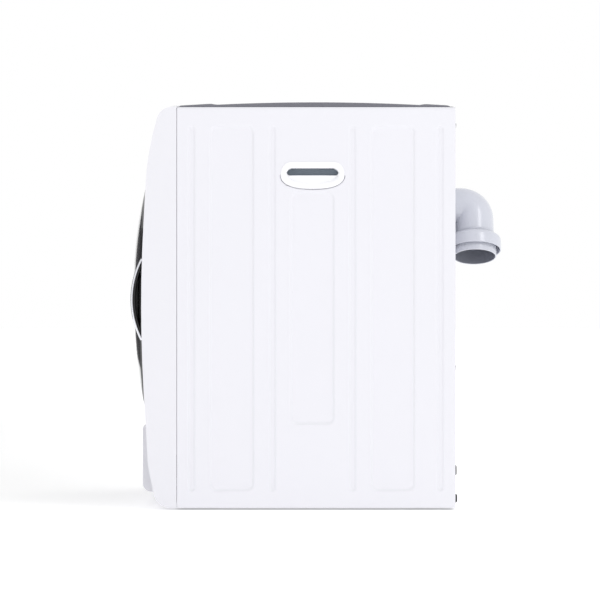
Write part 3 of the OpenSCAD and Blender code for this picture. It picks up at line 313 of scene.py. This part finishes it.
# The panel sinks in a narrow groove round the lower edge of the grip.
def moatDepth(y, z):
    py, pz = y - gripY, z - gripZ - grip["rise"]
    half, below = grip["halfWidth"], grip["height"] / 2 + grip["rise"]
    power = 2 / grip["square"]
    away = np.hypot(py, pz)
    size = (np.abs(py / half) ** power + np.abs(pz / below) ** power) ** (1 / power)
    out = away - away / np.maximum(size, 1e-6)
    band = smoothStep(1 - np.abs(out - 0.0002) / grip["moatWidth"]) * smoothStep((-pz + 0.001) / 0.006)
    return grip["moatDepth"] * band


# The grip's outline as (y, z) from its middle: a shallow curve below, round shoulders and a flat top.
def gripOutline(inset=0.0):
    half, rise, shoulder = grip["halfWidth"] - inset, grip["rise"], grip["shoulder"]
    below = grip["height"] / 2 + rise - inset
    above = grip["height"] / 2 - rise - inset
    points = []
    for k in range(90):
        c, d = math.cos(math.pi * k / 90), math.sin(math.pi * k / 90)
        points.append((half * math.copysign(abs(c) ** grip["square"], c), rise - below * d ** grip["square"]))
    for k in range(20):
        a = math.pi / 2 * k / 20
        points.append((-half + shoulder * (1 - math.cos(a)), rise + above * math.sin(a)))
    for k in range(40):
        points.append((-half + shoulder + (half - shoulder) * 2 * k / 40, rise + above))
    for k in range(20):
        a = math.pi / 2 * (1 - k / 20)
        points.append((half - shoulder * (1 - math.cos(a)), rise + above * math.sin(a)))
    return points


def insideOutline(py, pz, points):
    inside = False
    for (ay, az), (by, bz) in zip(points, points[1:] + points[:1]):
        if (az > pz) != (bz > pz) and py < (by - ay) * (pz - az) / (bz - az) + ay:
            inside = not inside
    return inside


def edgeLines(start, end, centres, step, fine, reach):
    lines = set(np.round(np.arange(start, end, step), 6))
    for c in centres:
        lines |= set(np.round(np.arange(c - reach, c + reach + fine / 2, fine), 6))
    lines = sorted(v for v in lines if start <= v <= end)
    kept = [start]
    for v in lines:
        if v - kept[-1] > fine * 0.6:
            kept.append(v)
    if end - kept[-1] > 1e-5:
        kept.append(end)
    return np.array(kept)


def makeSidePanel(side):
    roll, hem = panel["rollRadius"], panel["hemRadius"]
    frontEdge, backEdge = seam + panel["seamGap"], back
    edges = []
    for place, width in [(p, panel["beadWidth"]) for p in panel["beadPlaces"]] + \
            [(p, panel["fieldWidth"]) for p in panel["fieldPlaces"] + (0.0,)]:
        edges += [gripY + place - width / 2 + 0.002, gripY + place + width / 2 - 0.002]
    edges += [gripY - grip["halfWidth"], gripY + grip["halfWidth"]]
    ys = edgeLines(frontEdge + hem, backEdge - hem, edges, 0.004, 0.0009, 0.006)
    ends = [skirt + panel["low"] + 0.004, topZ - panel["high"] - 0.004,
            skirt + panel["centreLow"] + 0.004, gripZ - grip["height"] / 2 - 0.008]
    zs = edgeLines(skirt + hem, topZ - roll, ends, 0.008, 0.0012, 0.010)
    gripRows = np.arange(gripZ - 0.028, gripZ + 0.026, 0.0008)
    zs = np.array(sorted(set(np.round(np.concatenate([zs, gripRows]), 6))))

    # Rows run up the outside and over the rolled edge; columns run from the front hem to the back hem.
    arc = [math.radians(a) for a in range(0, 91, 10)]
    rows = [(wall - hem + hem * math.cos(a), skirt + hem - hem * math.sin(a)) for a in arc[::-1]][:-1]
    rows += [(wall, z) for z in zs]
    rows += [(wall - roll + roll * math.cos(a), topZ - roll + roll * math.sin(a)) for a in arc[1:]]
    rows += [(wall - 0.016, topZ)]
    rows = [(wall - 0.014, skirt)] + rows
    frontCols = [(frontEdge + hem * (1 - math.cos(a)), hem * (1 - math.sin(a))) for a in arc[:-1]]
    columns = frontCols + [(y, 0.0) for y in ys]
    columns += [(backEdge - hem * (1 - math.cos(a)), hem * (1 - math.sin(a))) for a in arc[:-1][::-1]]
    y = np.array([c[0] for c in columns])
    sink = np.array([c[1] for c in columns])
    verts = []
    flat = np.array([1.0 if abs(x - wall) < 1e-9 else 0.0 for x, z in rows])
    heights = np.array([r[1] for r in rows])[:, None]
    stamped = (stampDepth(y[None, :], heights) + moatDepth(y[None, :], heights)) * flat[:, None]
    for i, (x, z) in enumerate(rows):
        for j in range(len(columns)):
            px, pz = x - stamped[i, j], z
            if i > 0 and i < len(rows) - 1:
                px -= sink[j]
            if z > topZ - roll:
                pz -= sink[j] * (z - (topZ - roll)) / roll
                px = x - sink[j] * (x - (wall - roll)) / roll if x > wall - roll else x
            verts.append((side * px, y[j], pz))
    keep = np.ones((len(rows) - 1, len(columns) - 1), bool)
    hole = gripOutline(0.004)
    for i in range(len(rows) - 1):
        z = (rows[i][1] + rows[i + 1][1]) / 2 - gripZ
        if abs(z) > grip["height"]:
            continue
        for j in range(len(columns) - 1):
            py = (y[j] + y[j + 1]) / 2 - gripY
            if abs(py) < grip["halfWidth"] and insideOutline(py, z, hole):
                keep[i, j] = False
    piece = makeObject("sidePanelRight" if side > 0 else "sidePanelLeft", verts,
                       gridFaces(len(rows), len(columns), keep=keep), sharpAngle=50)
    thick = piece.modifiers.new("sheet", "SOLIDIFY")
    thick.thickness = panel["sheet"]
    thick.offset = -1
    return piece


# The insert is drawn in rings from its rim to the bottom of the scoop.
def makeGrip(side):
    edge = [(-0.0002, -0.004), (-0.0002, 0.0004), (0.0001, 0.0010), (0.0007, 0.0014), (0.0015, 0.0015),
            (0.004, 0.0015), (0.006, 0.0013), (0.0076, 0.0009), (0.0088, 0.0003), (0.0092, -0.0004)]
    verts = []
    for inset, height in edge:
        verts += [(side * (wall + height), gripY + py, gripZ + pz) for py, pz in gripOutline(inset)]
    count = len(verts) // len(edge)
    lip = gripOutline(edge[-1][0])
    low, rings = -grip["height"] / 2 + edge[-1][0], 60
    slotMiddle, slotHalf = (grip["slotLow"] + grip["slotHigh"]) / 2, (grip["slotHigh"] - grip["slotLow"]) / 2
    for r in range(1, rings + 1):
        t = 1 - r / rings
        for oy, oz in lip:
            py, pz = oy * t, slotMiddle - 0.004 + (oz - slotMiddle + 0.004) * t
            rampUp = smoothStep((pz - low + 0.002) / (grip["slotLow"] - low)) * (pz < grip["slotLow"] + 0.002)
            slot = roundedRect(py, pz, 0, slotMiddle, grip["slotWidth"] / 2, slotHalf, 0.0054)
            cut = smoothStep(0.5 - slot / 0.0012)
            fade = smoothStep((1 - t) / 0.12)
            deep = max(grip["scoop"] * float(rampUp * fade), float(cut) * grip["depth"], 0.0004)
            verts.append((side * (wall - deep), gripY + py, gripZ + pz))
    piece = makeObject("handGripRight" if side > 0 else "handGripLeft", verts,
                       gridFaces(len(edge) + rings, count, wrapCols=True), sharpAngle=70)
    # Faces deeper than about half the slot's depth take the second finish, which is painted shade in the
    # slot.
    for face in piece.data.polygons:
        if abs(face.center.x) < wall - grip["depth"] * 0.55:
            face.material_index = 1
    return piece


for side, node in ((1, "right_side_panel"), (-1, "left_side_panel")):
    finishPiece(makeSidePanel(side), "cabinet", "white_enamel", node)
for side in (1, -1):
    gripPiece = makeGrip(side)
    if side > 0:
        finishPiece(gripPiece, "cabinet", "white_plastic", "side_grips",
                    first="bright_plastic", second="recess")
    else:
        finishPiece(gripPiece, "cabinet", "white_plastic", first="bright_plastic", second="recess")
print("side panels done")


elbow = {
    "pipe": 0.036,
    "wall": 0.0025,
    "bend": 0.024,            # centreline radius of the bend
    "turn": 20,               # degrees from straight down, towards the right
    "collar": 0.049,
    "collarTop": 0.059,
    "collarEnd": 0.0855,
    "shoulder": 0.008,
    "spigot": 0.040,
    "spigotEnd": 0.0976,
}
portZ = 0.538             # height of the exhaust port
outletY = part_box("elbow")[1].y - elbow["collar"]


def makeElbow():
    around = 96
    bend = elbow["bend"]
    yc, zc = outletY - bend, -bend
    rings = []

    def ring(r, kind, t):
        out = []
        for k in range(around):
            phi = 2 * math.pi * k / around
            n, x = r * math.cos(phi), r * math.sin(phi)
            q = bend + n
            miss = max(-q, 0.0)
            if kind == "stub":
                start = back - 0.028
                out.append((x, start + t * (yc - miss - start), n))
            elif kind == "bend":
                if q <= 0:
                    out.append((x, yc - miss, zc - miss))
                else:
                    a = t * math.pi / 2
                    out.append((x, yc + q * math.sin(a), zc + q * math.cos(a)))
            else:
                end = -elbow["collarTop"] - 0.004
                out.append((x, outletY + n, zc - miss + t * (end - zc + miss)))
        return out

    for k in range(5):
        rings.append(ring(elbow["pipe"], "stub", k / 4))
    for k in range(1, 25):
        rings.append(ring(elbow["pipe"], "bend", k / 24))
    for k in range(1, 4):
        rings.append(ring(elbow["pipe"], "drop", k / 3))
    verts = [v for r in rings for v in r]
    faces = gridFaces(len(rings), around, wrapCols=True)
    pipe = makeObject("elbowPipe", verts, faces, sharpAngle=50)
    thick = pipe.modifiers.new("wall", "SOLIDIFY")
    # The inner wall that the solidify adds takes the second finish, which is painted shade.
    thick.material_offset = 1
    thick.thickness = elbow["wall"]
    thick.offset = -1

    top, end, o = elbow["collarTop"], elbow["collarEnd"], elbow["collar"]
    p, w = elbow["pipe"], elbow["wall"]
    profile = roundProfile([
        (p - 0.001, top + 0.0045, 0), (p - 0.001, top, 0), (p + 0.0035, top, 0.0012),
        (o, top + 0.0005, elbow["shoulder"]), (o, end, 0.0009), (o - w, end, 0.0009),
        (o - w, top + w + 0.001, elbow["shoulder"] - w), (elbow["spigot"] + 0.0005, top + w, 0),
        (elbow["spigot"], elbow["spigotEnd"], 0.0009), (elbow["spigot"] - w, elbow["spigotEnd"], 0.0009),
        (elbow["spigot"] - w, top + 0.006, 0.001)], steps=6)
    segs = 128
    verts = []
    for k in range(segs):
        a = 2 * math.pi * k / segs
        verts += [(r * math.cos(a), outletY + r * math.sin(a), -d) for r, d in profile]
    collar = makeObject("elbowCollar", verts, gridFaces(segs, len(profile), True, True), sharpAngle=50)
    # Faces inside the spigot take the second finish, which is painted shade.
    for face in collar.data.polygons:
        middle = face.center
        out = math.hypot(middle.x, middle.y - outletY)
        if out < elbow["spigot"] - 0.0012 and -middle.z < elbow["spigotEnd"] - 0.0004:
            face.material_index = 1
    turn = Matrix.Translation((0, 0, portZ)) @ Matrix.Rotation(math.radians(-elbow["turn"]), 4, "Y")
    for piece in (pipe, collar):
        piece.data.transform(turn)
    return pipe, collar


elbowPipe, elbowCollar = makeElbow()
# The second finish, named inside, is painted shade on the elbow's inner faces.
finishPiece(elbowPipe, "outlet", "elbow_plastic", "elbow", second="inside")
finishPiece(elbowCollar, "outlet", "elbow_plastic", second="inside")
print("elbow done")


door = {
    "edge": 0.198,            # radius of the dome's edge
    "drop": 0.020,            # fall from the crest to that edge
    "power": 2.45,
    "skin": 0.003,
}
handle = {"halfLength": 0.073, "arc": 0.157, "trim": 0.0045, "width": 0.030, "left": 0.1715}


def domeY(r):
    return crest + door["drop"] * (r / door["edge"]) ** door["power"]


def makeDome():
    steps = 40
    outer = [(door["edge"] * k / steps, domeY(door["edge"] * k / steps)) for k in range(steps)]
    outer[0] = (0.0005, outer[0][1])
    edge = door["edge"]
    lip = [(edge - 0.0016, domeY(edge) - 0.0003), (edge - 0.0004, domeY(edge) + 0.0006),
           (edge, domeY(edge) + 0.0018), (edge, crest + 0.024), (edge - 0.004, crest + 0.024)]
    inner = [(r * 0.978, y + door["skin"]) for r, y in outer[::-1]]
    return latheY("doorDome", (0, doorZ), outer + lip + inner, segments=200)


finishPiece(makeDome(), "door", "black_gloss", "door_dome")


# A band along the handle's arc, with rounded edges.
def makeHandleTrim():
    steps = 60
    left, width, thick = handle["left"], handle["width"], handle["trim"]
    section = roundProfile([(left, 0, 0.0016), (left + width, 0, 0.0016),
                            (left + width, -thick, 0.0016), (left, -thick, 0.0016)], steps=5)
    reach = math.asin(handle["halfLength"] / handle["arc"])
    verts = []
    for k in range(steps + 1):
        a = reach * (2 * k / steps - 1)
        for x, inward in section:
            r = handle["arc"] + inward
            verts.append((x, crest + 0.004 + handle["arc"] - r * math.cos(a), doorZ + r * math.sin(a)))
    count = len(section)
    faces = gridFaces(steps + 1, count, wrapCols=True)
    faces.append(tuple(range(count)))
    faces.append(tuple(reversed(range(steps * count, (steps + 1) * count))))
    return makeObject("handleTrim", verts, faces)


finishPiece(makeHandleTrim(), "door", "chrome", "handle_trim")
print("door done")


cover = {"rise": 0.027, "fall": 0.008, "backRadius": 0.006, "sheet": 0.0008}


def coverHeight(x, y):
    half = wall - 0.006
    span = (back - seam) / 2
    middle = (back + seam) / 2
    across = cover["rise"] - cover["rise"] * (x / half) ** 2
    along = cover["fall"] * ((y - middle) / span) ** 2
    return np.maximum(across - along, 0.001)


def makeCover():
    half = wall - 0.008
    xs = np.linspace(-half, half, 121)
    ys = edgeLines(seam + 0.0006, back - cover["backRadius"], [], 0.006, 0.001, 0.001)
    yGrid, xGrid = np.meshgrid(ys, xs, indexing="ij")
    zGrid = topZ + coverHeight(xGrid, yGrid)
    pad = roundedRect(xGrid, yGrid, 0, (seam + back) / 2 + 0.005, 0.215, 0.195, 0.05)
    zGrid = zGrid - 0.0022 * smoothStep(-pad / 0.012)
    rows = [list(zip(xGrid[i], yGrid[i], zGrid[i])) for i in range(len(ys))]
    for a in (20, 40, 60, 80, 90):
        drop = cover["backRadius"] * (1 - math.cos(math.radians(a)))
        push = cover["backRadius"] * math.sin(math.radians(a))
        rows.append([(x, ys[-1] + push, max(z - drop, topZ + 0.0002)) for x, y, z in rows[len(ys) - 1]])
    rows.append([(x, rows[-1][0][1], topZ) for x, y, z in rows[-1]])
    verts = [v for r in rows for v in r]
    piece = makeObject("topCover", verts, gridFaces(len(rows), len(xs)), sharpAngle=50)
    thick = piece.modifiers.new("sheet", "SOLIDIFY")
    thick.thickness = cover["sheet"]
    thick.offset = -1
    return piece


finishPiece(makeCover(), "cabinet", "grey_enamel", "top_cover")
print("top cover done")


studio = {
    "cameraDistance": 5.0,    # from the outer face of the right side panel
    "cameraY": -0.03215,
    "cameraRise": 0.363,      # above the panel's lower edge
    "lens": 171.9,
    "sensor": 36,
    "sky": 1.0,
    "floor": (0.975, 0.975, 0.975),
    "floorHalf": 30,
    "floorGlow": 0.30,
    "keyPower": 17,
    "keySize": 1.2,
}

floorMesh = bpy.data.meshes.new("floor")
half = studio["floorHalf"]
floorMesh.from_pydata([(-half, -half, 0), (half, -half, 0), (half, half, 0), (-half, half, 0)],
                      [], [(0, 1, 2, 3)])
floor = bpy.data.objects.new("floor", floorMesh)
bpy.context.scene.collection.objects.link(floor)
setMaterial(floor, makeFinish("pale studio floor", studio["floor"], 0.9, grainSize=0.01,
                              grainHeight=0.00001, drift=0.004, driftSize=2.0, glow=studio["floorGlow"]))


def addSoftbox(name, place, target, size, power):
    light = bpy.data.lights.new(name, "AREA")
    light.shape = "RECTANGLE"
    light.size, light.size_y = size
    light.energy = power
    lamp = bpy.data.objects.new(name, light)
    lamp.location = place
    lamp.rotation_euler = (Vector(target) - Vector(place)).to_track_quat("-Z", "Y").to_euler()
    bpy.context.scene.collection.objects.link(lamp)


addSoftbox("keyBox", (2.6, 2.2, 3.0), (0.2, 0, 0.4), (studio["keySize"],) * 2, studio["keyPower"])


# A dark card that the camera can't see: the door reflects it, and the white front is darker beside it.
def addFlag(name, corners, low, height):
    (ax, ay), (bx, by) = corners
    mesh = bpy.data.meshes.new(name)
    mesh.from_pydata([(ax, ay, low), (bx, by, low), (bx, by, height), (ax, ay, height)], [], [(0, 1, 2, 3)])
    card = bpy.data.objects.new(name, mesh)
    bpy.context.scene.collection.objects.link(card)
    setMaterial(card, makeFinish(name + "Cloth", (0.03, 0.03, 0.034), 0.9, grainSize=0.004, drift=0.1))
    card.visible_camera = False


addFlag("flagFront", ((-0.3, -0.80), (-4.2, -1.28)), 0.10, 0.85)
addFlag("flagSide", ((0.45, -0.90), (-0.3, -0.80)), 0.22, 0.80)

world = bpy.data.worlds.new("studioSky")
world.use_nodes = True
world.node_tree.nodes["Background"].inputs["Color"].default_value = (1, 1, 1, 1)
world.node_tree.nodes["Background"].inputs["Strength"].default_value = studio["sky"]
scene = bpy.context.scene
scene.world = world
scene.view_settings.view_transform = "Standard"

cameraData = bpy.data.cameras.new("camera")
cameraData.lens = studio["lens"]
cameraData.sensor_width = studio["sensor"]
camera = bpy.data.objects.new("camera", cameraData)
camera.location = (wall + studio["cameraDistance"], studio["cameraY"], skirt + studio["cameraRise"])
camera.rotation_euler = (math.radians(90), 0, math.radians(90))
scene.collection.objects.link(camera)
scene.camera = camera
print("studio done")
